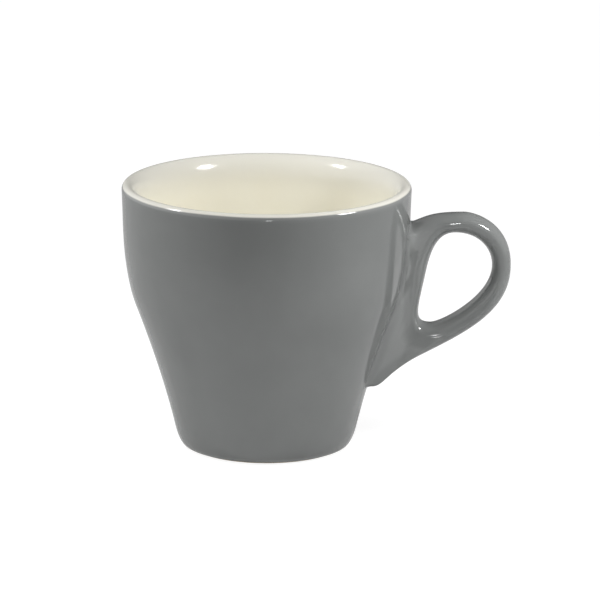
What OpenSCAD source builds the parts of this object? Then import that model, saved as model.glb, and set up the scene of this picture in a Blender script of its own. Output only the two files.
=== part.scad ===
// Cappuccino cup: a tulip-shaped stoneware cup with a looped handle, grey outside and cream inside.
// Lengths are in millimetres. The origin is the middle of the foot, on the table.
// The cup's axis is +Z, and the handle points along +X.

/* [Cup] */
// Outside diameter at the brim, just under the lip
brim_d = 82; // [78:0.5:88]
// Height from the table to the top of the lip
cup_h = 76; // [72:0.5:84]
// Outside diameter at the shoulder, where the flank turns upright
shoulder_d = 79.6; // [77:0.2:83]
// Height of the shoulder
shoulder_h = 53; // [50:0.5:56]
// Outside diameter of the flank where it leans out most
flank_d = 74; // [70:0.5:77]
// Height of that place on the flank
flank_h = 41; // [37:0.5:44]
// Outside diameter at the top of the rounded heel
heel_d = 52.2; // [49:0.2:56]
// Height of the rounded heel
heel_h = 6.5; // [5:0.25:9]

/* [Wall] */
// Radius of the rounded outer edge of the lip
lip_r = 1.65; // [1.2:0.05:2.2]
// Width of the rounded slope from the top of the lip to the wall inside
slope_w = 3.3; // [2.2:0.1:4.4]
// Height of that slope
slope_h = 7; // [4:0.25:11]
// Thickness of the glazed wall at the heel
heel_t = 5; // [3.8:0.1:6]
// Thickness of the glazed floor
floor_t = 5; // [3.5:0.1:7]
// Height of the rounded corner between the floor and the wall inside
bowl_h = 12; // [8:0.5:16]
// Width of that corner
bowl_w = 13; // [8:0.5:17]

/* [Foot] */
// Outside diameter of the flat ring that stands on the table
foot_d = 44.6; // [40:0.2:47]
// Width of the flat ring
foot_w = 3; // [2:0.1:6]
// Depth of the hollow inside the ring
hollow_h = 1.6; // [0.8:0.1:3]

/* [Glaze] */
// Thickness of the glaze
glaze_t = 0.35; // [0.2:0.05:0.6]
// Thickness of the slip that joins the handle to the wall
slip_t = 0.35; // [0.2:0.05:0.6]
// Angle on the round lip, up from level, where the grey glaze ends and the cream begins
lip_split = 33; // [10:1:70]

/* [Handle] */
// How far the handle stands out from the wall, at its widest height
handle_reach = 29.6; // [26:0.1:36]
// Height of the handle's outermost point
grip_h = 52.4; // [49:0.2:55]
// Height of the top of the loop
loop_h = 67.7; // [65:0.1:71]
// Thickness of the loop's bar at its outermost point
bar_t = 5.35; // [4.5:0.05:7]
// Thickness of the bar at the top of the loop
crown_t = 5.65; // [4.5:0.05:7]
// Width of the bar, from side to side, where fingers hold it
grip_w = 9.2; // [7.5:0.1:12]
// Width of the handle at the wall, before its fillet
root_w = 16; // [12:0.1:19]
// Width of the ring round the finger hole, within which the handle doesn't flare
ring_w = 3.4; // [2.6:0.1:4.6]
// Radius of the rounded edges of the handle
edge_r = 3.2; // [1.5:0.1:4]
// Radius of the rounded lower edge of the web
rim_r = 2.2; // [1.2:0.1:3.2]
// Radius of the fillet between the handle's edges and the wall
fillet_r = 1.2; // [0.8:0.1:2]
// Radius of the fillet between the handle's sides and the wall
side_fillet_r = 2; // [1:0.1:3]
// Height of the lowest point of the finger hole
hole_low_h = 35.6; // [33:0.2:38]
// How far that lowest point lies from the wall
hole_low_out = 11.7; // [10.5:0.1:13]
// Width of the leg between the finger hole and the wall
leg_w = 5.75; // [5:0.05:8]
// Height at which that width is taken
leg_h = 48; // [46:0.2:50]
// How far the underside of the handle stands out from the wall at its hip
hip_out = 11.6; // [10:0.1:14]
// Height of that hip
hip_h = 26.1; // [24:0.1:29]
// Height where the handle's top edge enters the wall
root_top_h = 63.4; // [61:0.2:66]
// Height where the handle's lower edge enters the wall
root_low_h = 18.6; // [17:0.1:21]

/* [Hidden] */
$fn = 96;

// Slope of the wall at its four stations, as radius gained for each unit of height
heel_lean_share = 0.24;
flank_lean_share = 0.378;
shoulder_lean_share = 0.14;
brim_lean_share = 0.05;

// Curve pulls of the heel, the bowl inside and the lip's slope, as shares of the curve's width and height
heel_pull_shares = [0.6, 0.35];
bowl_pull_shares = [0.5, 0.6];
slope_pull_shares = [0.55, 0.5];
// Share of the heel's curve, from the table up, that is wiped bare of glaze
bare_share = 0.2;

// Place of the loop's crown and of the hole's crown, as shares of the handle's reach
crown_share = 0.552;
hole_crown_share = 0.461;
// Slope of the leg's edge at the hole
leg_lean_share = 0.213;
// Share of the hole's corner curve and of its leg curve that faces the wall
corner_share = 0.55;
leg_share = 0.45;
// Curve pulls along the outside of the handle and around the hole, as shares of each chord
outside_pull_shares = [[0.402, 0.615], [0.113, 0.63], [0.258, 0.6], [0.761, 0.392]];
hole_pull_shares = [[0.309, 0.384], [0.452, 0.363], [0.387, 0.126], [0.379, 0.738]];
// Headings of the handle's lower and upper edges, in degrees from level
root_top_angle = 18.5;
hip_angle = 24.6;
root_low_angle = -27.4;
// Depth that the handle's shape runs into the wall before it is trimmed, as a share of the heel's thickness
seat_share = 0.52;
// Radius of the handle's edge in the wall, as a share of that depth
seat_edge_share = 0.46;
// Depth under the wall's surface that the fillet runs out to, as a share of the glaze
sink_share = 0.3;
// Most of a slice that one rounded edge may take
edge_fit_share = 0.48;
// How far the slices of the handle are evenly spaced, and not drawn towards the wall
even_share = 0.4;
// Power by which the points across a slice draw towards the wall
face_power = 2.5;

// Counts of points along each curve
heel_steps = 10;
wall_steps = 36;
lip_steps = 12;
slope_steps = 12;
bowl_steps = 14;
loop_steps = [12, 8, 12, 13, 18];
edge_steps = 4;
face_steps = 6;

// Colours of the finishes
grey_glaze = [0.46, 0.47, 0.465];
cream_glaze = [0.9, 0.88, 0.8];
fired_clay = [0.86, 0.81, 0.72];

// Sizes worked out from the ones above
brim_h = cup_h - lip_r;
brim_t = lip_r + slope_w;
slope_low_h = cup_h - slope_h;
floor_h = hollow_h + floor_t;
bowl_top_h = floor_h + bowl_h;
hollow_r = foot_d / 2 - foot_w;
seat_depth = seat_share * heel_t;
seat_r = seat_edge_share * seat_depth;
sink = sink_share * glaze_t;

// Helpers
function mix(a, b, t) = a + (b - a) * t;
function unit(v) = v / norm(v);
function heading(angle) = [cos(angle), sin(angle)];
function ease(t) = let (u = min(max(t, 0), 1)) u * u * (3 - 2 * u);
function bezier(p, t) =
    p[0] * pow(1 - t, 3) + p[1] * 3 * t * pow(1 - t, 2) + p[2] * 3 * t * t * (1 - t) + p[3] * pow(t, 3);
// Points of a curve that leaves p0 along d0 and reaches p1 along d1
function pulled(p0, d0, p1, d1, shares) =
    [p0, p0 + d0 * shares[0] * norm(p1 - p0), p1 - d1 * shares[1] * norm(p1 - p0), p1];
// The same run of points, moved sideways to the left of its direction
function beside(run, d) = [
    for (i = [0:len(run) - 1])
        let (a = run[max(i - 1, 0)], b = run[min(i + 1, len(run) - 1)], t = unit(b - a))
            run[i] + d * [-t[1], t[0]]
];
function reversed(run) = [for (i = [len(run) - 1:-1:0]) run[i]];
function after_first(run) = [for (i = [1:len(run) - 1]) run[i]];

// Outside of the wall: a smooth curve through four stations of height, radius and slope
stations = [
    [heel_h, heel_d / 2, heel_lean_share],
    [flank_h, flank_d / 2, flank_lean_share],
    [shoulder_h, shoulder_d / 2, shoulder_lean_share],
    [brim_h, brim_d / 2, brim_lean_share]
];
function span_r(a, b, z) =
    let (h = b[0] - a[0], u = (z - a[0]) / h)
        a[1] * (1 + u * u * (2 * u - 3)) + h * a[2] * u * pow(1 - u, 2)
        + b[1] * u * u * (3 - 2 * u) + h * b[2] * u * u * (u - 1);
function span_lean(a, b, z) =
    let (h = b[0] - a[0], u = (z - a[0]) / h)
        6 * u * (1 - u) * (b[1] - a[1]) / h + a[2] * (1 - u) * (1 - 3 * u) + b[2] * u * (3 * u - 2);
function span_at(z) = z < flank_h ? 0 : z < shoulder_h ? 1 : 2;
function wall_r(z) = let (i = span_at(z)) span_r(stations[i], stations[i + 1], z);
function wall_lean(z) = let (i = span_at(z)) span_lean(stations[i], stations[i + 1], z);
// Inside of the wall: the outside less a thickness that changes evenly from the heel to the brim
function inside_r(z) =
    let (t = mix(heel_t, brim_t, (z - heel_h) / (brim_h - heel_h)), lean = wall_lean(z))
        wall_r(z) - t * sqrt(1 + lean * lean);

// Points of the finished outside, as [radius, height], from the foot up to the brim
heel_curve = let (a = [foot_d / 2, 0], d = [heel_d / 2, heel_h]) [
    a,
    a + [heel_pull_shares[0] * (d[0] - a[0]), 0],
    d - heel_pull_shares[1] * heel_h * [heel_lean_share, 1],
    d
];
outside_points = concat(
    [for (i = [0:heel_steps - 1]) bezier(heel_curve, i / heel_steps)],
    [for (i = [0:wall_steps]) let (z = mix(heel_h, brim_h, i / wall_steps)) [wall_r(z), z]]
);

// Points of the finished inside, from the top of the lip down to the middle of the floor
slope_curve = let (a = [brim_d / 2 - lip_r, cup_h], d = [inside_r(slope_low_h), slope_low_h]) [
    a,
    a - [slope_pull_shares[0] * (a[0] - d[0]), 0],
    d + slope_pull_shares[1] * slope_h * [wall_lean(slope_low_h), 1],
    d
];
bowl_edge = [inside_r(bowl_top_h), bowl_top_h];
bowl_curve = let (d = [bowl_edge[0] - bowl_w, floor_h]) [
    bowl_edge,
    bowl_edge - bowl_pull_shares[0] * bowl_h * [wall_lean(bowl_top_h), 1],
    d + [bowl_pull_shares[1] * bowl_w, 0],
    d
];
inside_points = concat(
    [for (i = [0:slope_steps - 1]) bezier(slope_curve, i / slope_steps)],
    [for (i = [0:wall_steps]) let (z = mix(slope_low_h, bowl_top_h, i / wall_steps)) [inside_r(z), z]],
    [for (i = [1:bowl_steps]) bezier(bowl_curve, i / bowl_steps)],
    [[0, floor_h]]
);

// Runs of points at a depth under the finished surface
function outside_run(depth) = beside(outside_points, depth);
function inside_run(depth) = beside(inside_points, depth);
function lip_run(from, to, depth) = [
    for (i = [0:lip_steps])
        [brim_d / 2 - lip_r, brim_h] + (lip_r - depth) * heading(mix(from, to, i / lip_steps))
];
function grey_run(depth) =
    let (run = outside_run(depth))
        concat([for (i = [bare_steps:len(run) - 2]) run[i]], lip_run(0, lip_split, depth));
function cream_run(depth) = concat(lip_run(lip_split, 90, depth), after_first(inside_run(depth)));
bare_steps = round(bare_share * heel_steps);

// Solid of revolution inside the cup's outside surface, moved in by a depth
module filled_cup(depth) {
    rotate_extrude() polygon(concat([[0, 0], [foot_d / 2, 0]], outside_run(depth), [[0, brim_h]]));
}

// Outside edge of the handle, seen from the side, in five stretches
loop_x = wall_r(grip_h);
root_top = [wall_r(root_top_h) - seat_depth, root_top_h];
root_low = [wall_r(root_low_h) - seat_depth, root_low_h];
crown = [loop_x + crown_share * handle_reach, loop_h];
tip = [loop_x + handle_reach, grip_h];
hip = [wall_r(hip_h) + hip_out, hip_h];
outside_curves = [
    pulled(root_top, heading(root_top_angle), crown, [1, 0], outside_pull_shares[0]),
    pulled(crown, [1, 0], tip, [0, -1], outside_pull_shares[1]),
    pulled(tip, [0, -1], hip, -heading(hip_angle), outside_pull_shares[2]),
    pulled(hip, -heading(hip_angle), root_low, -heading(root_low_angle), outside_pull_shares[3])
];
function seat_pt(t) = let (z = mix(root_low_h, root_top_h, t)) [wall_r(z) - seat_depth, z];
function outside_pt(stretch, t) = stretch < 4 ? bezier(outside_curves[stretch], t) : seat_pt(t);

// Edge of the finger hole, in the same five stretches
hole_leg = [wall_r(leg_h) + leg_w, leg_h];
hole_crown = [loop_x + hole_crown_share * handle_reach, loop_h - crown_t];
hole_tip = [tip[0] - bar_t, grip_h];
hole_low = [wall_r(hole_low_h) + hole_low_out, hole_low_h];
leg_heading = unit([leg_lean_share, 1]);
leg_curve = pulled(hole_leg, leg_heading, hole_crown, [1, 0], hole_pull_shares[0]);
crown_curve = pulled(hole_crown, [1, 0], hole_tip, [0, -1], hole_pull_shares[1]);
tip_curve = pulled(hole_tip, [0, -1], hole_low, [-1, 0], hole_pull_shares[2]);
corner_curve = pulled(hole_low, [-1, 0], hole_leg, leg_heading, hole_pull_shares[3]);
function leg_pt(t) =
    t < 0.5 ? bezier(corner_curve, mix(corner_share, 1, 2 * t)) : bezier(leg_curve, leg_share * (2 * t - 1));
function hole_pt(stretch, t) =
    stretch == 0 ? bezier(leg_curve, mix(leg_share, 1, t))
    : stretch == 1 ? bezier(crown_curve, t)
    : stretch == 2 ? bezier(tip_curve, t)
    : stretch == 3 ? bezier(corner_curve, corner_share * t)
    : leg_pt(t);

// Spacing along a stretch: closer together where the edge runs into the wall
function spaced(stretch, u) =
    stretch == 0 ? mix(u * u, u, even_share) : stretch == 3 ? mix(u * (2 - u), u, even_share) : u;

// Half of the handle's width: the grip's on the ring, and from there evenly wider up to the wall
function half_width(beyond, gap) = mix(grip_w, root_w, beyond > 0 ? beyond / (beyond + max(gap, 0)) : 0) / 2;
// How far the fillet lifts a point, by what its gap lacks of the radius and how the gap grows on the way
function fillet_out(lack, slope, r) =
    let (half = lack * slope + r, square = 1 + slope * slope)
        (half - sqrt(max(half * half - square * lack * lack, 0))) / square;

// One side of a slice across the bar, as [distance from the hole's edge, share of half width, normal across]
function slice_side(r, face_end, outer_r, len_across) = concat(
    [for (i = [0:edge_steps]) let (a = 90 * i / edge_steps) [r * (1 - cos(a)), sin(a), -cos(a)]],
    [for (i = [1:face_steps - 1]) [mix(face_end, r, pow(1 - i / face_steps, face_power)), 1, 0]],
    [
        for (i = [edge_steps:-1:0])
            let (a = 90 * i / edge_steps) [len_across - outer_r * (1 - cos(a)), sin(a), cos(a)]
    ]
);
function slice_pt(start, across, s, side, depth) =
    let (
        p = start + across * s[0],
        wall = wall_r(p[1]),
        y = s[1] * half_width(s[0] + depth - ring_w, p[0] - wall),
        from_axis = norm([p[0], y]),
        rise = s[2] * across[1],
        r = mix(fillet_r, side_fillet_r, s[1]),
        lack = max(r - (from_axis - wall + sink), 0),
        out = fillet_out(lack, s[1] * y / from_axis - rise * wall_lean(p[1]), r)
    ) [p[0], side * (y + (out - depth) * s[1]), p[1] + out * rise];
function slice(stretch, t, depth) =
    let (
        a = hole_pt(stretch, t),
        b = outside_pt(stretch, t),
        across = unit(b - a),
        span = norm(b - a) - 2 * depth,
        r = min(edge_r - depth, span * edge_fit_share),
        seated = ease((wall_r(b[1]) - b[0]) / seat_depth),
        web = ease((span - bar_t) / (2 * bar_t)),
        outer_r = mix(mix(r, rim_r - depth, web), min(seat_r, r), seated),
        half = slice_side(r, span - mix(outer_r, seat_depth - depth, seated), outer_r, span),
        start = a + across * depth
    ) concat(
        [for (s = half) slice_pt(start, across, s, -1, depth)],
        [for (i = [len(half) - 2:-1:1]) slice_pt(start, across, half[i], 1, depth)]
    );
// Handle's whole shape, moved in by a depth all over, and running into the wall
module loop_shape(depth) {
    slices = [
        for (k = [0:len(loop_steps) - 1])
            for (i = [0:loop_steps[k] - 1]) slice(k, spaced(k, i / loop_steps[k]), depth)
    ];
    n = len(slices);
    m = len(slices[0]);
    polyhedron(
        points = [for (s = slices) for (p = s) p],
        faces = [
            for (i = [0:n - 1])
                for (j = [0:m - 1])
                    let (
                        a = i * m + j,
                        b = i * m + (j + 1) % m,
                        c = ((i + 1) % n) * m + (j + 1) % m,
                        d = ((i + 1) % n) * m + j
                    )
                        for (f = [[a, b, c], [a, c, d]]) f
        ]
    );
}

// Clay of the cup: wall, floor and foot
module cup_body() {
    color(fired_clay)
        rotate_extrude()
            polygon(concat(
                [[hollow_r, 0], [foot_d / 2, 0]],
                [for (i = [0:bare_steps - 1]) outside_run(glaze_t)[i]],
                grey_run(glaze_t),
                after_first(cream_run(glaze_t)),
                [[0, hollow_h + glaze_t], [hollow_r, hollow_h + glaze_t]]
            ));
}

// Cream glaze inside the cup and over its lip
module inner_glaze() {
    color(cream_glaze)
        rotate_extrude() polygon(concat(cream_run(0), reversed(cream_run(glaze_t))));
}

// Grey glaze outside the cup, open where the handle is joined
module outer_glaze() {
    color(grey_glaze)
        difference() {
            rotate_extrude() polygon(concat(grey_run(0), reversed(grey_run(glaze_t))));
            loop_shape(glaze_t);
        }
}

// Grey glaze on the underside, within the foot ring
module base_glaze() {
    color(grey_glaze) translate([0, 0, hollow_h]) cylinder(r = hollow_r, h = glaze_t);
}

// Clay of the handle
module handle() {
    color(fired_clay)
        difference() {
            loop_shape(glaze_t);
            filled_cup(glaze_t - slip_t);
        }
}

// Slip that joins the handle's clay to the wall
module handle_slip() {
    color(fired_clay)
        intersection() {
            loop_shape(glaze_t);
            difference() {
                filled_cup(glaze_t - slip_t);
                filled_cup(glaze_t);
            }
        }
}

// Grey glaze on the handle, from its clay out to the finished surface
module handle_glaze() {
    color(grey_glaze)
        difference() {
            loop_shape(0);
            loop_shape(glaze_t);
            filled_cup(0);
        }
}

cup_body();
inner_glaze();
outer_glaze();
base_glaze();
handle();
handle_slip();
handle_glaze();
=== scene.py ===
"""Looks of a grey-glazed stoneware cappuccino cup with a cream inside and a looped handle.

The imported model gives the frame. The coats of glaze and the clay are surfaces worked out with numpy
on grids of two parameters, in metres, with the cup's axis on +Z and the handle towards +X.
"""

import logging
import math
from dataclasses import dataclass, field
from enum import Enum, IntEnum
from typing import Any

import bpy
import numpy as np
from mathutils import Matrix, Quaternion, Vector
from numpy.typing import NDArray


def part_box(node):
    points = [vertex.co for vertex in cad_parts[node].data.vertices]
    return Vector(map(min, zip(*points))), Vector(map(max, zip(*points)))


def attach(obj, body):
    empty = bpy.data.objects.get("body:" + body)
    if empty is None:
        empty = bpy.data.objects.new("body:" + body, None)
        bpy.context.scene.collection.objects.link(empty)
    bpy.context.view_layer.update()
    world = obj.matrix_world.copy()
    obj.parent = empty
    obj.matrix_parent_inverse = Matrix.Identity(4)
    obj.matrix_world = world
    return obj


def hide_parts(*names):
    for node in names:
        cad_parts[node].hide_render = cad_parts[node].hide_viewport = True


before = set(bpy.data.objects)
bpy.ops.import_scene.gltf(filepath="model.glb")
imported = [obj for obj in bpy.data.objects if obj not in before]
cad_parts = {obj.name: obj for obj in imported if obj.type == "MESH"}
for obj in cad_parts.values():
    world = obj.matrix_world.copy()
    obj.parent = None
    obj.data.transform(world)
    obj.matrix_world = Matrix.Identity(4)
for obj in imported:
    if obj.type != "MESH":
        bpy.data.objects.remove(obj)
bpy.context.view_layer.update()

LOG = logging.getLogger("cappuccino_cup")
MM = 0.001
TINY = 1e-9
IMAGE_SIDE = 600
Grid = NDArray[np.float64]
Material = bpy.types.Material
Socket = bpy.types.NodeSocket
Colour = tuple[float, float, float, float]
WHITE: Colour = (1.0, 1.0, 1.0, 1.0)


class Slot(Enum):
    """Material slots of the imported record."""

    CLAY = "fired_clay"
    CREAM = "cream_glaze"
    GREY = "grey_glaze"


class Mark(Enum):
    """Vertex attributes that the finishes read."""

    CREAM = "cream_share"
    # Share of the thin colour: thin glaze, and painted light on the handle's web.
    THIN = "thin_glaze_and_painted_light"
    # Share of the pooled colour: pooled glaze, and painted shade along the handle web's lower edge.
    POOL = "pooled_glaze_and_painted_shade"


class Stretch(IntEnum):
    """Stretches of the handle's edge, in order round the loop."""

    ROOT = 0
    CROWN = 1
    BAR = 2
    WEB = 3
    SEAT = 4


def ease(t: Grid) -> Grid:
    """Smooth step from 0 to 1 with level ends."""
    u = np.clip(t, 0.0, 1.0)
    return u * u * (3.0 - 2.0 * u)


def mix(a: Any, b: Any, t: Any) -> Any:
    """Straight blend from a to b."""
    return a + (b - a) * t


def heading(degrees: float) -> Grid:
    """Unit vector at an angle from level."""
    return np.array([math.cos(math.radians(degrees)), math.sin(math.radians(degrees))])


def bezier(points: Grid, t: Grid) -> Grid:
    """Cubic curve: the four points weighted by the Bernstein polynomials of t.

    Args:
        points: Four control points, as rows.
        t: Places along the curve, from 0 to 1.

    Returns:
        One point for each t, as rows.
    """
    u = 1.0 - t
    weights = np.stack([u**3, 3 * t * u**2, 3 * t**2 * u, t**3], axis=-1)
    return weights @ points


def pulled(start: Grid, leave: Grid, end: Grid, arrive: Grid, shares: tuple[float, float]) -> Grid:
    """Control points of a cubic that leaves along one direction and arrives along another.

    Args:
        start: First point.
        leave: Unit direction at the first point.
        end: Last point.
        arrive: Unit direction at the last point.
        shares: Length of each pull, as shares of the chord.

    Returns:
        Four control points, as rows.
    """
    chord = np.linalg.norm(end - start)
    first, last = leave * shares[0] * chord, arrive * shares[1] * chord
    return np.array([start, start + first, end - last, end])


def beside(run: Grid, distance: float) -> Grid:
    """A run of plane points moved to the left of its own direction, along its normals.

    Args:
        run: Points as rows.
        distance: How far the points move.

    Returns:
        The moved points.
    """
    tangent = np.gradient(run, axis=0)
    tangent /= np.linalg.norm(tangent, axis=1, keepdims=True)
    normal = np.stack([-tangent[:, 1], tangent[:, 0]], axis=1)
    return run + normal * distance


def arc_length(run: Grid) -> Grid:
    """Distance along a run of points, from its first."""
    steps = np.linalg.norm(np.diff(run, axis=0), axis=1)
    return np.concatenate([[0.0], np.cumsum(steps)])


def arc(middle: Grid, radius: float, start: float, stop: float, steps: int) -> Grid:
    """Arc from one angle to another, in degrees: middle plus radius times cosine and sine."""
    angle = np.radians(np.linspace(start, stop, steps + 1))
    return middle + radius * np.stack([np.cos(angle), np.sin(angle)], axis=1)


def bead(left: Grid, width: float) -> Grid:
    """Swell of a glaze over a width from its end, as a column of heights of a quarter circle."""
    share = np.clip(left / width, 0.0, 1.0)
    return np.sqrt(1 - (1 - share) ** 2)[:, None]


@dataclass
class GridMesh:
    """A closed surface on a grid of rows and columns that wraps both ways."""

    name: str
    points: Grid
    marks: dict[Mark, Grid] = field(default_factory=dict)

    def build(self) -> bpy.types.Object:
        """Puts the grid into a mesh, with one vertex for each row that lies on the axis.

        A row whose points coincide is a pole: its cells become a fan of triangles. The faces are
        turned if the signed volume, a sixth of the sum of the corner triple products, is negative.

        Returns:
            The new object, at the origin, shaded smooth.
        """
        rows, columns, _ = self.points.shape
        pole = np.ptp(self.points, axis=1).max(axis=1) < TINY
        index = np.arange(rows * columns).reshape(rows, columns)
        index[pole] = index[pole, :1]
        used, packed = np.unique(index, return_inverse=True)
        index = packed.reshape(rows, columns)
        flat = self.points.reshape(-1, 3)[used]

        below, right = np.roll(index, -1, axis=0), np.roll(index, -1, axis=1)
        cells = np.stack([index, right, np.roll(below, -1, axis=1), below], axis=-1)
        top, bottom = pole, np.roll(pole, -1)
        quads = cells[~top & ~bottom].reshape(-1, 4)
        fans = np.concatenate([
            cells[top & ~bottom][:, :, [0, 2, 3]].reshape(-1, 3),
            cells[~top & bottom][:, :, [0, 1, 2]].reshape(-1, 3),
        ])
        triangles = np.concatenate([quads[:, [0, 1, 2]], quads[:, [0, 2, 3]], fans])
        corners = flat[triangles]
        volume = np.einsum("ij,ij->", corners[:, 0], np.cross(corners[:, 1], corners[:, 2])) / 6.0
        if volume < 0:
            quads, fans = quads[:, ::-1], fans[:, ::-1]

        mesh = bpy.data.meshes.new(self.name)
        mesh.from_pydata(flat.tolist(), [], quads.tolist() + fans.tolist())
        mesh.polygons.foreach_set("use_smooth", np.ones(len(mesh.polygons), dtype=bool))
        for mark, values in self.marks.items():
            layer = mesh.attributes.new(mark.value, "FLOAT", "POINT")
            spread = np.broadcast_to(values, (rows, columns)).reshape(-1)[used]
            layer.data.foreach_set("value", spread.astype(np.float32))
        mesh.update()
        piece = bpy.data.objects.new(self.name, mesh)
        bpy.context.scene.collection.objects.link(piece)
        LOG.info("%s: %d vertices, %.0f mm3", self.name, len(flat), abs(volume) / MM**3)
        return piece


@dataclass(frozen=True)
class Grain:
    """A fractal noise: features a metre, levels of detail, and the range of it that is used."""

    scale: float
    detail: float
    used: tuple[float, float] = (0.0, 1.0)
    roughness: float = 0.55


class Graph:
    """A node tree that is being wired."""

    def __init__(self, tree: bpy.types.NodeTree) -> None:
        """Empties the tree."""
        self.tree = tree
        tree.nodes.clear()

    def add(
        self, kind: str, settings: dict[str, Any] | None = None, **sockets: Any
    ) -> bpy.types.Node:
        """Adds a node, sets its properties, and sets or links its inputs.

        Args:
            kind: Blender's name of the node's class.
            settings: Properties of the node.
            **sockets: Values or output sockets by input name, with _ for a space.

        Returns:
            The new node.
        """
        node = self.tree.nodes.new(kind)
        for key, value in (settings or {}).items():
            setattr(node, key, value)
        for key, value in sockets.items():
            self.feed(node, key.replace("_", " "), value)
        return node

    def feed(self, node: bpy.types.Node, socket: str | int, value: Any) -> None:
        """Links an output to an input, or sets the input's own value.

        Args:
            node: The node that is fed.
            socket: Name or number of its input.
            value: An output socket, or the input's own value.
        """
        target = node.inputs[socket]
        if isinstance(value, Socket):
            self.tree.links.new(value, target)
        else:
            target.default_value = value

    def feed_all(self, node: bpy.types.Node, values: dict[int, Any], output: int = 0) -> Socket:
        """Feeds a node's numbered inputs.

        Args:
            node: The node that is fed.
            values: Values or output sockets by number of the input.
            output: Number of the output that is wanted.

        Returns:
            That output.
        """
        for socket, value in values.items():
            self.feed(node, socket, value)
        return node.outputs[output]

    def math(self, operation: str, a: Any, b: Any) -> Socket:
        """Result of one Math node."""
        node = self.add("ShaderNodeMath", {"operation": operation})
        return self.feed_all(node, {0: a, 1: b})

    def colour_mix(self, factor: Any, a: Any, b: Any) -> Socket:
        """Blend of two colours."""
        node = self.add("ShaderNodeMix", {"data_type": "RGBA"})
        return self.feed_all(node, {0: factor, 6: a, 7: b}, 2)

    def span(self, value: Any, old: tuple[float, float], new: tuple[float, float]) -> Socket:
        """Maps a value from one range to another, clamped."""
        node = self.add("ShaderNodeMapRange", {"clamp": True})
        return self.feed_all(node, {0: value, 1: old[0], 2: old[1], 3: new[0], 4: new[1]})

    def smooth(self, value: Any, low: float, high: float) -> Socket:
        """Smooth step from 0 at low to 1 at high."""
        node = self.add("ShaderNodeMapRange", {"interpolation_type": "SMOOTHSTEP"})
        return self.feed_all(node, {0: value, 1: low, 2: high, 3: 0.0, 4: 1.0})

    def noise(self, where: Socket, grain: Grain) -> Socket:
        """Fractal noise, around 0.5, at so many features a metre.

        Args:
            where: Coordinates.
            grain: Its scale, detail and roughness.

        Returns:
            The noise's value.
        """
        node = self.add(
            "ShaderNodeTexNoise",
            Vector=where,
            Scale=grain.scale,
            Detail=grain.detail,
            Roughness=grain.roughness,
        )
        return node.outputs[0]

    def mark(self, mark: Mark) -> Socket:
        """A vertex attribute of the piece."""
        return self.add("ShaderNodeAttribute", {"attribute_name": mark.value}).outputs["Fac"]


def linear(red: int, green: int, blue: int) -> Colour:
    """Scene colour of an sRGB colour, by the standard's straight foot and power curve.

    Args:
        red: Red from 0 to 255.
        green: Green.
        blue: Blue.

    Returns:
        The linear colour, opaque.
    """
    share = np.array([red, green, blue]) / 255.0
    value = np.where(share <= 0.04045, share / 12.92, ((share + 0.055) / 1.055) ** 2.4)
    return (float(value[0]), float(value[1]), float(value[2]), 1.0)


def even(level: float) -> Colour:
    """An even grey of a linear level."""
    return (level, level, level, 1.0)


def blank_material(name: str) -> tuple[Material, Graph]:
    """Makes a material without nodes.

    Args:
        name: Name of the material.

    Returns:
        The material, and its node tree for wiring.
    """
    material = bpy.data.materials.new(name)
    material.use_nodes = True
    return material, Graph(material.node_tree)


@dataclass(frozen=True)
class GlazeFinish:
    """A glossy glaze: nearly even in colour, paler where thin and where painted light lightens it,
    deeper where pooled and where painted shade darkens it, softly wavy.
    """

    slot: Slot
    body: Colour
    drift: Colour
    thin: Colour
    pooled: Colour
    meeting: Colour
    gloss: tuple[float, float] = (0.07, 0.12)
    refraction: float = 1.5
    wave_strength: float = 0.05
    wave_height: float = 0.4 * MM
    speck_share: float = 0.16
    clouds: Grain = Grain(38.0, 3.0, (0.35, 0.65))
    specks: Grain = Grain(1500.0, 2.0, (0.66, 0.78))
    haze: Grain = Grain(210.0, 3.0, (0.3, 0.7))
    wave: Grain = Grain(90.0, 2.0)
    ripple: Grain = Grain(420.0, 1.0)

    def material(self) -> Material:
        """Wires the glaze.

        Broad noise drifts the colour and fine noise specks it, the marks of thin glaze with painted
        light and of pooled glaze with painted shade tint it, and the cream mark carries it over to
        the other glaze's colour at the lip. Other noises vary the roughness and the bump.

        Returns:
            The new material.
        """
        material, graph = blank_material(self.slot.value)
        where = graph.add("ShaderNodeTexCoord").outputs["Object"]
        clouds = graph.span(graph.noise(where, self.clouds), self.clouds.used, (0.0, 1.0))
        fine = graph.noise(where, self.specks)
        specks = graph.span(fine, self.specks.used, (0.0, self.speck_share))
        colour = graph.colour_mix(clouds, self.body, self.drift)
        colour = graph.colour_mix(specks, colour, self.pooled)
        # Thin glaze and painted light make the colour paler; pooled glaze and painted shade make it
        # deeper.
        colour = graph.colour_mix(graph.mark(Mark.THIN), colour, self.thin)
        colour = graph.colour_mix(graph.mark(Mark.POOL), colour, self.pooled)
        colour = graph.colour_mix(graph.mark(Mark.CREAM), colour, self.meeting)
        rough = graph.span(graph.noise(where, self.haze), self.haze.used, self.gloss)
        wave = graph.math("ADD", graph.noise(where, self.wave), graph.noise(where, self.ripple))
        bump = graph.add(
            "ShaderNodeBump", Strength=self.wave_strength, Distance=self.wave_height, Height=wave
        )
        shader = graph.add(
            "ShaderNodeBsdfPrincipled",
            Base_Color=colour,
            Roughness=rough,
            IOR=self.refraction,
            Normal=bump.outputs[0],
        )
        graph.add("ShaderNodeOutputMaterial", Surface=shader.outputs[0])
        return material


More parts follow.
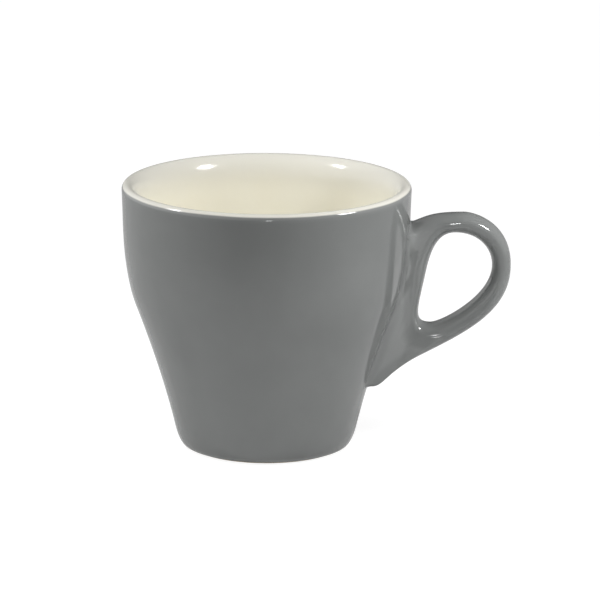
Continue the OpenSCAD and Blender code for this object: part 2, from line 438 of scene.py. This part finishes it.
@dataclass(frozen=True)
class ClayFinish:
    """Bare fired stoneware: matt, sandy, with fine dark and pale grains."""

    slot: Slot = Slot.CLAY
    body: Colour = linear(214, 201, 178)
    grain: Colour = linear(176, 158, 132)
    grog: Colour = linear(231, 223, 205)
    matt: tuple[float, float] = (0.78, 0.95)
    grain_share: float = 0.7
    grog_share: float = 0.5
    grit_strength: float = 0.35
    grit_height: float = 0.2 * MM
    patches: Grain = Grain(160.0, 3.0, (0.35, 0.65))
    sand: Grain = Grain(2600.0, 4.0, (0.3, 0.7))
    dark_sand: tuple[float, float] = (0.55, 0.7)

    def material(self) -> Material:
        """Wires the clay: coarse and fine noise for colour, fine noise for roughness and bump.

        Returns:
            The new material.
        """
        material, graph = blank_material(self.slot.value)
        where = graph.add("ShaderNodeTexCoord").outputs["Object"]
        sand, patches = graph.noise(where, self.sand), graph.noise(where, self.patches)
        pale = graph.span(patches, self.patches.used, (0.0, self.grog_share))
        dark = graph.span(sand, self.dark_sand, (0.0, self.grain_share))
        colour = graph.colour_mix(pale, self.body, self.grog)
        colour = graph.colour_mix(dark, colour, self.grain)
        rough = graph.span(sand, self.sand.used, self.matt)
        bump = graph.add(
            "ShaderNodeBump", Strength=self.grit_strength, Distance=self.grit_height, Height=sand
        )
        shader = graph.add(
            "ShaderNodeBsdfPrincipled", Base_Color=colour, Roughness=rough, Normal=bump.outputs[0]
        )
        graph.add("ShaderNodeOutputMaterial", Surface=shader.outputs[0])
        return material


def dress(piece: bpy.types.Object, material: Material, slot: Slot, *nodes: str) -> None:
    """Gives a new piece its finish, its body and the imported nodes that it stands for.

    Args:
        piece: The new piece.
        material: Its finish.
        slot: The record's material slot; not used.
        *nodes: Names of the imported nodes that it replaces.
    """
    piece.data.materials.append(material)
    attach(piece, "root")
    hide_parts(*nodes)


@dataclass
class WallCurve:
    """Outside of the cup's wall: radius as a smooth function of height through four stations."""

    heights: Grid
    radii: Grid
    leans: Grid

    def _place(self, z: Grid | float) -> tuple[NDArray[np.int64], Grid, Grid]:
        """Finds the span between two stations that each height lies in.

        Args:
            z: Heights.

        Returns:
            Number of the station below, height of the span, and share of the span.
        """
        z = np.asarray(z, dtype=float)
        k = np.clip(np.searchsorted(self.heights, z, side="right") - 1, 0, len(self.heights) - 2)
        span = self.heights[k + 1] - self.heights[k]
        return k, span, (z - self.heights[k]) / span

    def radius(self, z: Grid | float) -> Grid:
        """Cubic Hermite radius: each span's two radii and two slopes, weighted by its share.

        Args:
            z: Heights.

        Returns:
            Radii at those heights.
        """
        k, span, u = self._place(z)
        near = self.radii[k] * (1 + u * u * (2 * u - 3)) + span * self.leans[k] * u * (1 - u) ** 2
        far = self.radii[k + 1] * u * u * (3 - 2 * u) + span * self.leans[k + 1] * u * u * (u - 1)
        return near + far

    def lean(self, z: Grid | float) -> Grid:
        """Slope of the radius over height, which is the Hermite radius differentiated.

        Args:
            z: Heights.

        Returns:
            Slopes at those heights.
        """
        k, span, u = self._place(z)
        rise = 6 * u * (1 - u) * (self.radii[k + 1] - self.radii[k]) / span
        return rise + self.leans[k] * (1 - u) * (1 - 3 * u) + self.leans[k + 1] * u * (3 * u - 2)


@dataclass
class CupShell:
    """The cup without its handle: clay, two glazes that meet at the lip, and the glazed base."""

    brim_radius: float
    cup_height: float
    shoulder_radius: float = 39.8 * MM
    shoulder_height: float = 53 * MM
    flank_radius: float = 37 * MM
    flank_height: float = 41 * MM
    heel_radius: float = 26.1 * MM
    heel_height: float = 6.5 * MM
    lip_radius: float = 1.65 * MM
    slope_width: float = 3.3 * MM
    slope_height: float = 7 * MM
    heel_thickness: float = 5 * MM
    floor_thickness: float = 5 * MM
    bowl_height: float = 12 * MM
    bowl_width: float = 13 * MM
    foot_radius: float = 22.3 * MM
    foot_width: float = 3 * MM
    foot_rounding: float = 0.4 * MM
    foot_clearance: float = 0.02 * MM
    hollow_depth: float = 1.6 * MM
    hollow_fillet: float = 1.1 * MM
    base_edge_angle: float = 25.0
    glaze: float = 0.35 * MM
    bead_share: float = 1.5
    bare_share: float = 0.2
    lip_split: float = 33.0
    lip_line: float = 36.0
    lip_wander: float = 1.5
    lip_blur: float = 9.0
    lip_waves: tuple[tuple[float, int, float], ...] = (
        (1.0, 3, 0.4), (0.6, 7, 2.1), (0.4, 16, 1.0),
    )
    lean_shares: tuple[float, ...] = (0.24, 0.378, 0.14, 0.05)
    heel_pull_shares: tuple[float, float] = (0.6, 0.35)
    bowl_pull_shares: tuple[float, float] = (0.5, 0.6)
    slope_pull_shares: tuple[float, float] = (0.55, 0.5)
    foot_thin_share: float = 0.7
    foot_thin_height: float = 1.2 * MM
    lip_thin_share: float = 0.25
    lip_thin_drop: float = 1.0 * MM
    lip_thin_height: float = 1.8 * MM
    crest_fade: float = 12 * MM
    pool_share: float = 0.6
    pool_height: float = 9 * MM
    base_pool_share: float = 0.25
    turns: int = 224
    heel_steps: int = 40
    wall_steps: int = 90
    slope_steps: int = 36
    inside_steps: int = 60
    bowl_steps: int = 40
    floor_steps: int = 12
    split_steps: int = 24
    lip_steps: int = 40
    fillet_steps: int = 14
    rounding_steps: int = 8

    def __post_init__(self) -> None:
        """Works out the sizes that follow from others, the turns and the wall's curve."""
        self.brim_height = self.cup_height - self.lip_radius
        self.floor_height = self.hollow_depth + self.floor_thickness
        self.hollow_radius = self.foot_radius - self.foot_width
        self.turn = np.linspace(0, 2 * np.pi, self.turns, endpoint=False)
        self.wall = WallCurve(
            np.array([self.heel_height, self.flank_height, self.shoulder_height, self.brim_height]),
            np.array([self.heel_radius, self.flank_radius, self.shoulder_radius, self.brim_radius]),
            np.array(self.lean_shares),
        )

    def inside_radius(self, z: Grid) -> Grid:
        """Outside radius less a thickness that changes evenly from the heel to the brim.

        The thickness is square to the wall, so it counts times the root of one plus the slope
        squared.

        Args:
            z: Heights.

        Returns:
            Radii of the finished inside at those heights.
        """
        share = (z - self.heel_height) / (self.brim_height - self.heel_height)
        thickness = mix(self.heel_thickness, self.lip_radius + self.slope_width, share)
        return self.wall.radius(z) - thickness * np.sqrt(1 + self.wall.lean(z) ** 2)

    def heel_run(self) -> Grid:
        """Finished heel: a cubic from the foot, level, to the wall's first station, along its lean.

        Returns:
            Points as radius and height.
        """
        start = np.array([self.foot_radius, 0.0])
        end = np.array([self.heel_radius, self.heel_height])
        out = np.array([self.heel_pull_shares[0] * (end[0] - start[0]), 0.0])
        down = self.heel_pull_shares[1] * self.heel_height * np.array([self.lean_shares[0], 1.0])
        controls = np.array([start, start + out, end - down, end])
        return bezier(controls, np.linspace(0, 1, self.heel_steps + 1))

    def outside_run(self) -> Grid:
        """Finished outside, as radius and height, from the foot up to the brim."""
        z = np.linspace(self.heel_height, self.brim_height, self.wall_steps + 1)[1:]
        return np.concatenate([self.heel_run(), np.stack([self.wall.radius(z), z], axis=1)])

    def inside_run(self) -> Grid:
        """Finished inside: a cubic slope from the crest, the wall, the bowl's cubic, the floor.

        Returns:
            Points as radius and height, from the crest of the lip to the axis.
        """
        top = self.floor_height + self.bowl_height
        z = np.linspace(self.cup_height - self.slope_height, top, self.inside_steps + 1)
        wall = np.stack([self.inside_radius(z), z], axis=1)
        brow, edge = wall[0], wall[-1]
        crest = np.array([self.brim_radius - self.lip_radius, self.cup_height])
        level = np.array([self.slope_pull_shares[0] * (crest[0] - brow[0]), 0.0])
        up = np.array([float(self.wall.lean(z[0])), 1.0])
        steep = self.slope_pull_shares[1] * self.slope_height * up
        slope = np.array([crest, crest - level, brow + steep, brow])
        end = np.array([edge[0] - self.bowl_width, self.floor_height])
        up = np.array([float(self.wall.lean(top)), 1.0])
        down = self.bowl_pull_shares[0] * self.bowl_height * up
        out = np.array([self.bowl_pull_shares[1] * self.bowl_width, 0.0])
        bowl = np.array([edge, edge - down, end + out, end])
        return np.concatenate([
            bezier(slope, np.linspace(0, 1, self.slope_steps + 1)),
            wall[1:],
            bezier(bowl, np.linspace(0, 1, self.bowl_steps + 1))[1:],
            np.linspace(end, [0.0, self.floor_height], self.floor_steps + 1)[1:],
        ])

    def lip_run(self, start: float, stop: float, depth: float, steps: int) -> Grid:
        """Part of the round lip between two angles up from level, at a depth under the glaze."""
        middle = np.array([self.brim_radius - self.lip_radius, self.brim_height])
        return arc(middle, self.lip_radius - depth, start, stop, steps)

    def revolve(self, run: Grid) -> Grid:
        """Carries a run round the axis: x and y are the radius times the turn's cosine and sine.

        Args:
            run: Points as radius and height.

        Returns:
            Points in space, with a row for each point of the run and a column for each turn.
        """
        radius, height = np.maximum(run[:, :1], 0.0), run[:, 1:]
        x, y = radius * np.cos(self.turn), radius * np.sin(self.turn)
        return np.stack([x, y, height + 0 * self.turn], axis=-1)

    def cream_mark(self, run: Grid) -> Grid:
        """How far grey has given way to cream: an eased step in lip angle that wanders.

        The wander is a sum of sine waves round the rim, each with its height, count and start.

        Args:
            run: Points as radius and height.

        Returns:
            A value from 0 to 1 for each point and turn: 0 below the lip outside, 1 inside the cup.
        """
        rise = np.maximum(run[:, 1] - self.brim_height, 0.0)
        angle = np.degrees(np.arctan2(rise, run[:, 0] - (self.brim_radius - self.lip_radius)))
        waves = [high * np.sin(count * self.turn + start) for high, count, start in self.lip_waves]
        line = self.lip_line + self.lip_wander * sum(waves)
        return ease((angle[:, None] - line) / (2 * self.lip_blur) + 0.5)

    def grey_coat(self) -> bpy.types.Object:
        """Grey glaze outside: from a rounded bead above the bare foot to the line on the lip.

        Returns:
            The new piece.
        """
        first = round(self.bare_share * self.heel_steps)
        finished, clay = self.outside_run(), beside(self.outside_run(), self.glaze)
        finished, clay = finished[first:-1], clay[first:-1]
        coat = mix(clay, finished, bead(arc_length(clay), self.bead_share * self.glaze))
        lip = self.lip_run(0, self.lip_split, 0.0, self.split_steps)
        lip_clay = self.lip_run(0, self.lip_split, self.glaze, self.split_steps)
        run = np.concatenate([coat, lip, lip_clay[::-1], clay[::-1]])
        height = run[:, 1]
        thin = self.foot_thin_share * (1 - ease((height - coat[0, 1]) / self.foot_thin_height))
        near_lip = ease((height - self.brim_height + self.lip_thin_drop) / self.lip_thin_height)
        thin += self.lip_thin_share * near_lip
        cream = np.where(run[:, 1:] > self.brim_height, self.cream_mark(run), 0.0)
        marks = {Mark.CREAM: cream, Mark.THIN: thin[:, None]}
        return GridMesh("grey_coat", self.revolve(run), marks).build()

    def cream_coat(self) -> bpy.types.Object:
        """Cream glaze: from the line on the lip, over the lip and down the inside to the floor.

        Returns:
            The new piece.
        """
        inside = self.inside_run()
        clay = beside(inside, self.glaze)
        lip = self.lip_run(self.lip_split, 90, 0.0, self.lip_steps)
        lip_clay = self.lip_run(self.lip_split, 90, self.glaze, self.lip_steps)
        run = np.concatenate([lip, inside[1:], clay[:0:-1], lip_clay[::-1]])
        # Darker cream towards the crest of the lip.
        crest = ease((run[:, 1] - self.cup_height) / self.crest_fade + 1)
        pool = self.pool_share * (1 - ease((run[:, 1] - self.floor_height) / self.pool_height))
        grey = np.where(run[:, 1:] > self.brim_height, 1 - self.cream_mark(run), 0.0)
        marks = {Mark.CREAM: grey, Mark.THIN: crest[:, None], Mark.POOL: pool[:, None]}
        return GridMesh("cream_coat", self.revolve(run), marks).build()

    def base_runs(self) -> tuple[Grid, Grid]:
        """Hollow under the base, from the axis to the end of the glaze in the hollow's fillet.

        Returns:
            The run of the finished glaze, and that of the clay behind it.
        """
        corner = np.array([self.hollow_radius - self.hollow_fillet, self.hollow_depth])
        flat = np.linspace([0.0, self.hollow_depth], corner, self.floor_steps + 1)[:-1]
        middle = corner - np.array([0.0, self.hollow_fillet])
        fillet = arc(middle, self.hollow_fillet, 90, self.base_edge_angle, self.fillet_steps)
        glaze = np.concatenate([flat, fillet])
        return glaze, beside(glaze, self.glaze)

    def base_coat(self) -> bpy.types.Object:
        """Grey glaze in the hollow of the base, with a rounded edge short of the bare foot ring.

        Returns:
            The new piece.
        """
        glaze, clay = self.base_runs()
        along = arc_length(glaze)
        coat = mix(clay, glaze, bead(along[-1] - along, self.bead_share * self.glaze))
        run = np.concatenate([coat, clay[::-1]])
        marks = {Mark.POOL: np.full((len(run), 1), self.base_pool_share)}
        return GridMesh("base_coat", self.revolve(run), marks).build()

    def clay_cup(self) -> bpy.types.Object:
        """Clay under the glazes, with a foot ring that is bare and has rounded edges.

        Returns:
            The new piece.
        """
        _, hollow = self.base_runs()
        r = self.foot_rounding
        inner_edge = arc(np.array([self.hollow_radius + r, r]), r, 180, 270, self.rounding_steps)
        outer_edge = arc(np.array([self.foot_radius - r, r]), r, -90, 0, self.rounding_steps)
        outside = beside(self.outside_run(), self.glaze)
        outside = outside[outside[:, 1] > r + self.foot_clearance]
        lip = self.lip_run(0, 90, self.glaze, self.lip_steps)
        inside = beside(self.inside_run(), self.glaze)
        run = np.concatenate([hollow, inner_edge, outer_edge, outside[:-1], lip, inside[1:]])
        return GridMesh("clay_cup", self.revolve(run)).build()

    def build(self, grey: Material, cream: Material, clay: Material) -> None:
        """Builds and dresses the cup's pieces.

        Args:
            grey: Finish of the outside and the base.
            cream: Finish of the inside and the lip.
            clay: Finish of the bare foot.
        """
        dress(self.clay_cup(), clay, Slot.CLAY, "cup_body")
        dress(self.grey_coat(), grey, Slot.GREY, "outer_glaze")
        dress(self.cream_coat(), cream, Slot.CREAM, "inner_glaze")
        dress(self.base_coat(), grey, Slot.GREY, "base_glaze")


@dataclass
class HandleLoop:
    """The looped handle: a bar round a finger hole, a leg along the wall and a web below."""

    wall: WallCurve
    reach: float = 29.6 * MM
    grip_height: float = 52.4 * MM
    loop_height: float = 67.7 * MM
    bar_thickness: float = 5.35 * MM
    crown_thickness: float = 5.65 * MM
    grip_width: float = 9.2 * MM
    root_width: float = 16 * MM
    ring_width: float = 3.4 * MM
    # Where the painted light on the web's face begins, and how fast it comes in.
    web_painted_light_start: float = 6.0 * MM
    web_painted_light_blend: float = 1.7 * MM
    # The roll along the web's lower edge carries painted shade: its width, its fade, and the slice
    # lengths where it begins.
    roll_width: float = 2.4 * MM
    roll_shade_fade: float = 2 * MM
    roll_shade_start: float = 12 * MM
    roll_shade_blend: float = 6 * MM
    edge_radius: float = 3.2 * MM
    rim_radius: float = 2.2 * MM
    fillet_radius: float = 1.2 * MM
    side_fillet_radius: float = 2 * MM
    hole_low_height: float = 35.6 * MM
    hole_low_out: float = 11.7 * MM
    leg_width: float = 5.75 * MM
    leg_height: float = 48 * MM
    hip_out: float = 11.6 * MM
    hip_height: float = 26.1 * MM
    root_top_height: float = 63.4 * MM
    root_low_height: float = 18.6 * MM
    seat_depth: float = 2.6 * MM
    seat_radius: float = 1.196 * MM
    glaze: float = 0.35 * MM
    sink: float = 0.105 * MM
    crown_share: float = 0.552
    hole_crown_share: float = 0.461
    leg_lean_share: float = 0.213
    corner_share: float = 0.55
    leg_share: float = 0.45
    edge_fit_share: float = 0.48
    rim_blend_share: float = 2.0
    draw_share: float = 0.3
    face_power: float = 2.5
    fillet_pool_share: float = 0.5
    # Share of painted shade along the web's down-facing lower edge.
    roll_painted_shade_share: float = 0.5
    edge_thin_share: float = 0.18
    # Share of painted light that lightens the web's face.
    web_painted_light_share: float = 0.4
    outside_pull_shares: tuple[tuple[float, float], ...] = (
        (0.402, 0.615), (0.113, 0.63), (0.258, 0.6), (0.761, 0.392),
    )
    hole_pull_shares: tuple[tuple[float, float], ...] = (
        (0.309, 0.384), (0.452, 0.363), (0.387, 0.126), (0.379, 0.738),
    )
    root_top_angle: float = 18.5
    hip_angle: float = 24.6
    root_low_angle: float = -27.4
    steps: tuple[int, ...] = (80, 40, 60, 90, 90)
    edge_steps: int = 14
    face_steps: int = 18

    def _wall_point(self, height: float, out: float) -> Grid:
        """Point in the handle's plane at a height, so far out from the wall."""
        return np.array([float(self.wall.radius(height)) + out, height])

    def outside_edge(self) -> Grid:
        """Outside of the handle from the side: four cubics round the loop, then the seat.

        Returns:
            Points as distance from the axis and height.
        """
        loop_x = float(self.wall.radius(self.grip_height))
        top = self._wall_point(self.root_top_height, -self.seat_depth)
        low = self._wall_point(self.root_low_height, -self.seat_depth)
        crown = np.array([loop_x + self.crown_share * self.reach, self.loop_height])
        tip = np.array([loop_x + self.reach, self.grip_height])
        hip = self._wall_point(self.hip_height, self.hip_out)
        level, down = heading(0), heading(-90)
        back, under = -heading(self.hip_angle), -heading(self.root_low_angle)
        pulls = self.outside_pull_shares
        curves = [
            pulled(top, heading(self.root_top_angle), crown, level, pulls[0]),
            pulled(crown, level, tip, down, pulls[1]),
            pulled(tip, down, hip, back, pulls[2]),
            pulled(hip, back, low, under, pulls[3]),
        ]
        z = mix(self.root_low_height, self.root_top_height, self.places(Stretch.SEAT))
        seat = np.stack([self.wall.radius(z) - self.seat_depth, z], axis=1)
        loop = [bezier(curve, self.places(stretch)) for stretch, curve in zip(Stretch, curves)]
        return np.concatenate([*loop, seat])

    def hole_edge(self) -> Grid:
        """Edge of the finger hole in the same stretches, the last round a corner and up the leg.

        Returns:
            Points as distance from the axis and height.
        """
        loop_x = float(self.wall.radius(self.grip_height))
        leg = self._wall_point(self.leg_height, self.leg_width)
        crown_x = loop_x + self.hole_crown_share * self.reach
        crown = np.array([crown_x, self.loop_height - self.crown_thickness])
        tip = np.array([loop_x + self.reach - self.bar_thickness, self.grip_height])
        low = self._wall_point(self.hole_low_height, self.hole_low_out)
        up = np.array([self.leg_lean_share, 1.0]) / math.hypot(self.leg_lean_share, 1.0)
        level, down, back = heading(0), heading(-90), heading(180)
        pulls = self.hole_pull_shares
        leg_curve = pulled(leg, up, crown, level, pulls[0])
        corner = pulled(low, back, leg, up, pulls[3])
        rise = 2 * self.places(Stretch.SEAT)
        return np.concatenate([
            bezier(leg_curve, mix(self.leg_share, 1, self.places(Stretch.ROOT))),
            bezier(pulled(crown, level, tip, down, pulls[1]), self.places(Stretch.CROWN)),
            bezier(pulled(tip, down, low, back, pulls[2]), self.places(Stretch.BAR)),
            bezier(corner, self.corner_share * self.places(Stretch.WEB)),
            bezier(corner, mix(self.corner_share, 1, rise[rise < 1])),
            bezier(leg_curve, self.leg_share * (rise[rise >= 1] - 1)),
        ])

    def places(self, stretch: Stretch) -> Grid:
        """Places along a stretch from 0 up to 1, drawn together where the edge runs into the wall.

        Args:
            stretch: The stretch of the edge.

        Returns:
            One place for each step.
        """
        u = np.arange(self.steps[stretch]) / self.steps[stretch]
        if stretch is Stretch.ROOT:
            return mix(u * u, u, self.draw_share)
        if stretch is Stretch.WEB:
            return mix(u * (2 - u), u, self.draw_share)
        return u

    def slice_side(self, span: Grid, seated: Grid, depth: float) -> tuple[Grid, Grid, Grid]:
        """One side of every slice across the bar: a rounded edge, a flat face and a rounded edge.

        Args:
            span: Length of each slice, from the hole's edge to the outside.
            seated: How far each slice's outside lies in the wall, from 0 to 1.
            depth: Distance under the finished surface.

        Returns:
            Distance from the hole's edge, share of the half width (also the normal sideways), and
            the normal across, each with a row for a slice and a column for a point.
        """
        radius = np.minimum(self.edge_radius - depth, span * self.edge_fit_share)[:, None]
        web = ease((span[:, None] / self.bar_thickness - 1) / self.rim_blend_share)
        rim = mix(radius, self.rim_radius - depth, web)
        outer_radius = mix(rim, np.minimum(self.seat_radius, radius), seated[:, None])
        angle = np.linspace(0, np.pi / 2, self.edge_steps + 1)
        face = 1 - (1 - np.arange(1, self.face_steps) / self.face_steps) ** self.face_power
        full = np.ones_like(face)
        width = span[:, None]
        near = radius * (1 - np.cos(angle))
        far = width - outer_radius * (1 - np.cos(angle[::-1]))
        face_end = width - mix(outer_radius, self.seat_depth - depth, seated[:, None])
        across = np.concatenate([near, mix(radius, face_end, face), far], axis=1)
        side = np.concatenate([np.sin(angle), full, np.sin(angle[::-1])])
        lean = np.concatenate([-np.cos(angle), 0 * full, np.cos(angle[::-1])])
        rows = np.ones((len(span), 1))
        return across, rows * side, rows * lean

    def surface(self, depth: float = 0.0) -> tuple[Grid, ...]:
        """Surface of the handle, finished or at a depth under the glaze.

        Each slice runs from the hole's edge to the outside edge in the handle's plane, and its two
        sides stand off the plane by a half width that flares evenly from the ring round the hole to
        the wall: its share is the distance from the ring over that distance plus the gap to the
        wall. Near the wall every point moves out along its normal by a fillet, which is the smaller
        root of a circle: what the gap lacks of the radius, squared, plus what the move lacks of it,
        squared, is the radius squared, where the gap grows with the move by the wall's slope.

        The web's mark is painted light that lightens the web's face; it eases in with the distance
        from the hole and out towards the outside edge.
        The roll's mark is painted shade along the web's down-facing lower edge; it eases in and out
        with the distance from the outside edge, and counts by how steeply the slice points down and
        how long it is. Both give way to the fillet.

        Args:
            depth: Distance under the finished surface.

        Returns:
            Points on a grid of slices and places round each slice, the fillet as a share of its
            radius, how round the edge is there, how far the point lies in the painted light out on
            the web, and how far it lies in the painted shade along the web's lower edge.
        """
        hole, outside = self.hole_edge(), self.outside_edge()
        across = outside - hole
        span = np.linalg.norm(across, axis=1)
        across /= span[:, None]
        seated = ease((self.wall.radius(outside[:, 1]) - outside[:, 0]) / self.seat_depth)
        distance, share, lean = self.slice_side(span - 2 * depth, seated, depth)
        x = hole[:, :1] + across[:, :1] * (distance + depth)
        z = hole[:, 1:] + across[:, 1:] * (distance + depth)
        wall = self.wall.radius(z)
        beyond = np.maximum(distance + depth - self.ring_width, 0)
        flare = beyond / (beyond + np.maximum(x - wall, 0) + TINY)
        y = share * mix(self.grip_width, self.root_width, flare) / 2
        radius = mix(self.fillet_radius, self.side_fillet_radius, share)
        rise = lean * across[:, 1:]
        slope = share * y / np.hypot(x, y) - rise * self.wall.lean(z)
        lack = np.maximum(radius - (np.hypot(x, y) - wall + self.sink), 0)
        half = lack * slope + radius
        square = 1 + slope**2
        out = (half - np.sqrt(np.maximum(half**2 - square * lack**2, 0))) / square
        y = y + (out - depth) * share
        z = z + out * rise
        front = np.stack([x, -y, z], axis=-1)
        back = np.stack([x, y, z], axis=-1)[:, -2:0:-1]
        fillet = np.minimum(out / radius, 1)
        edge = np.abs(lean)
        inward = np.hypot(x[..., None] - outside[:, 0], z[..., None] - outside[:, 1]).min(axis=-1)
        inset = ease(inward / self.roll_width)
        # Painted light: lightens the flat face of the web, away from the hole and the outside edge.
        web = ease((distance - self.web_painted_light_start) / self.web_painted_light_blend) * inset * share * (1 - fillet)
        # Painted shade: darkens the down-facing lower edge of the web, where little light falls.
        long = ease((span[:, None] - self.roll_shade_start) / self.roll_shade_blend)
        low = np.maximum(-across[:, 1:], 0) * long
        roll = (inset - ease((inward - self.roll_width) / self.roll_shade_fade)) * low * (1 - fillet)
        marks = [np.concatenate([m, m[:, -2:0:-1]], axis=1) for m in (fillet, edge, web, roll)]
        return (np.concatenate([front, back], axis=1), *marks)

    def build(self, grey: Material, clay: Material) -> None:
        """Builds and dresses the glazed handle, and finishes the clay that it covers.

        Args:
            grey: Finish of the handle.
            clay: Finish of the clay and the slip inside it.
        """
        points, fillet, edge, web, roll = self.surface()
        # The pool mark carries the pooled glaze in the fillet and the painted shade along the web's
        # lower edge.
        pool = np.maximum(self.fillet_pool_share * fillet, self.roll_painted_shade_share * roll)
        # The thin mark carries the thin glaze on the edges and the painted light on the web.
        thin = self.edge_thin_share * edge + self.web_painted_light_share * web
        marks = {Mark.POOL: pool, Mark.THIN: thin}
        dress(GridMesh("handle_coat", points, marks).build(), grey, Slot.GREY, "handle_glaze")
        core = GridMesh("handle_clay", self.surface(self.glaze)[0]).build()
        dress(core, clay, Slot.CLAY, "handle")
        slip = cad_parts["handle_slip"]
        slip.data.materials.clear()
        slip.data.materials.append(clay)
        LOG.info("handle_slip: packed piece, dressed as fired clay")


@dataclass(frozen=True)
class Lamp:
    """A round lamp that points at the cup: its place, its diameter and its power in watts."""

    name: str
    place: tuple[float, float, float]
    size: float
    power: float
    aim: tuple[float, float, float] = (0.0, 0.0, 45 * MM)

    def build(self) -> None:
        """Makes the lamp and turns it to the cup."""
        light = bpy.data.lights.new(self.name, "AREA")
        light.shape = "DISK"
        light.size = self.size
        light.energy = self.power
        lamp = bpy.data.objects.new(self.name, light)
        lamp.location = self.place
        lamp.rotation_mode = "QUATERNION"
        lamp.rotation_quaternion = (Vector(self.aim) - Vector(self.place)).to_track_quat("-Z", "Y")
        bpy.context.scene.collection.objects.link(lamp)


@dataclass
class Studio:
    """A pale floor, a soft room that is brightest at the sides and dim above, and small lamps."""

    floor_side: float = 8.0
    floor_pale: float = 0.88
    # Grey of the painted shade on the floor in front.
    floor_painted_shade: float = 0.22
    floor_front: tuple[float, float] = (-0.4, -0.1)
    floor_level: float = 0.9
    shadow_share: float = 0.22
    left_level: float = 1.69
    right_level: float = 0.79
    lamps: tuple[Lamp, ...] = (
        Lamp("lamp_left", (-0.152, -0.018, 0.192), 0.034, 0.135),
        Lamp("lamp_right", (0.159, -0.071, 0.178), 0.046, 0.3),
        Lamp("lamp_front", (0.031, -1.33, 0.12), 0.09, 1.8),
    )

    def floor(self) -> None:
        """A flat floor that shows white to the camera, keeps a soft shadow, and has painted shade in
        front for every other ray.
        """
        half = self.floor_side / 2
        corners = [(-half, -half, 0), (half, -half, 0), (half, half, 0), (-half, half, 0)]
        mesh = bpy.data.meshes.new("floor")
        mesh.from_pydata(corners, [], [(0, 1, 2, 3)])
        floor = bpy.data.objects.new("floor", mesh)
        bpy.context.scene.collection.objects.link(floor)
        material, graph = blank_material("pale_floor")
        path = graph.add("ShaderNodeLightPath").outputs["Is Camera Ray"]
        where = graph.add("ShaderNodeTexCoord").outputs["Object"]
        axes = graph.add("ShaderNodeSeparateXYZ", Vector=where).outputs
        # Painted shade: the floor in front is dark to every ray but the camera's, standing in for the
        # unlit front of the room.
        near = graph.smooth(axes[1], *self.floor_front)
        pale = graph.colour_mix(near, even(self.floor_painted_shade), even(self.floor_pale))
        seen = graph.colour_mix(path, pale, even(self.shadow_share))
        matt = graph.add("ShaderNodeBsdfDiffuse", Color=seen).outputs[0]
        level = graph.math("MULTIPLY", path, self.floor_level)
        white = graph.add("ShaderNodeEmission", Color=WHITE, Strength=level).outputs[0]
        both = graph.feed_all(graph.add("ShaderNodeAddShader"), {0: matt, 1: white})
        graph.add("ShaderNodeOutputMaterial", Surface=both)
        mesh.materials.append(material)

    def room(self) -> None:
        """A surround that is white to the camera and lights from both sides, more from the left."""
        world = bpy.data.worlds.new("room")
        world.use_nodes = True
        bpy.context.scene.world = world
        graph = Graph(world.node_tree)
        where = graph.add("ShaderNodeTexCoord").outputs["Generated"]
        axes = graph.add("ShaderNodeSeparateXYZ", Vector=where).outputs
        right = graph.math("MAXIMUM", graph.math("MULTIPLY", axes[0], self.right_level), 0.0)
        left = graph.math("MAXIMUM", graph.math("MULTIPLY", axes[0], -self.left_level), 0.0)
        level = graph.math("ADD", left, right)
        soft = graph.add("ShaderNodeBackground", Color=WHITE, Strength=level).outputs[0]
        white = graph.add("ShaderNodeBackground", Color=WHITE, Strength=1.0).outputs[0]
        path = graph.add("ShaderNodeLightPath").outputs["Is Camera Ray"]
        blend = graph.feed_all(graph.add("ShaderNodeMixShader", Fac=path), {1: soft, 2: white})
        graph.add("ShaderNodeOutputWorld", Surface=blend)

    def build(self) -> None:
        """Sets up the floor, the room and the lamps."""
        self.floor()
        self.room()
        for lamp in self.lamps:
            lamp.build()


@dataclass
class PhotoCamera:
    """Camera at the photograph's viewing angle: a long lens, a little above the cup."""

    distance: float = 1366.7 * MM
    elevation: float = 14.33
    roll: float = 0.31
    turn_height: float = 36.44 * MM
    aim: tuple[float, float, float] = (9.575 * MM, 0.0, 41.96 * MM)
    focal_pixels: float = 4806.0
    sensor: float = 36.0
    clip: tuple[float, float] = (0.05, 50.0)

    def build(self) -> None:
        """Makes the camera and gives it to the scene."""
        data = bpy.data.cameras.new("photo_camera")
        data.sensor_width = self.sensor
        data.lens = self.sensor * self.focal_pixels / IMAGE_SIDE
        data.clip_start, data.clip_end = self.clip
        camera = bpy.data.objects.new("photo_camera", data)
        back = math.radians(self.elevation)
        height = self.turn_height + self.distance * math.sin(back)
        place = Vector((0, -self.distance * math.cos(back), height))
        look = (Vector(self.aim) - place).to_track_quat("-Z", "Y")
        camera.location = place
        camera.rotation_mode = "QUATERNION"
        camera.rotation_quaternion = look @ Quaternion((0, 0, 1), math.radians(self.roll))
        bpy.context.scene.collection.objects.link(camera)
        bpy.context.scene.camera = camera


GREY = GlazeFinish(
    slot=Slot.GREY,
    body=linear(110, 112, 111),
    drift=linear(114, 116, 115),
    # The thin colour is also the painted light on the handle's web.
    thin=linear(140, 142, 141),
    # The pooled colour is also the painted shade along the handle web's lower edge.
    pooled=linear(96, 98, 98),
    meeting=linear(222, 219, 205),
)
CREAM = GlazeFinish(
    slot=Slot.CREAM,
    body=linear(238, 235, 221),
    drift=linear(236, 232, 216),
    # The thin colour darkens the cream towards the crest of the lip.
    thin=linear(212, 210, 201),
    pooled=linear(231, 226, 210),
    meeting=linear(120, 121, 119),
    gloss=(0.12, 0.17),
)


def main() -> None:
    """Builds the cup, its handle, the studio and the camera."""
    logging.basicConfig(level=logging.INFO, format="%(name)s %(message)s")
    bpy.context.scene.view_settings.view_transform = "Standard"
    PhotoCamera().build()
    Studio().build()
    grey, cream, clay = GREY.material(), CREAM.material(), ClayFinish().material()
    low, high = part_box("outer_glaze")
    rim_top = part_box("inner_glaze")[1][2]
    shell = CupShell(brim_radius=float(high[1] - low[1]) / 2, cup_height=float(rim_top))
    shell.build(grey, cream, clay)
    HandleLoop(shell.wall).build(grey, clay)


if __name__ == "__main__":
    main()
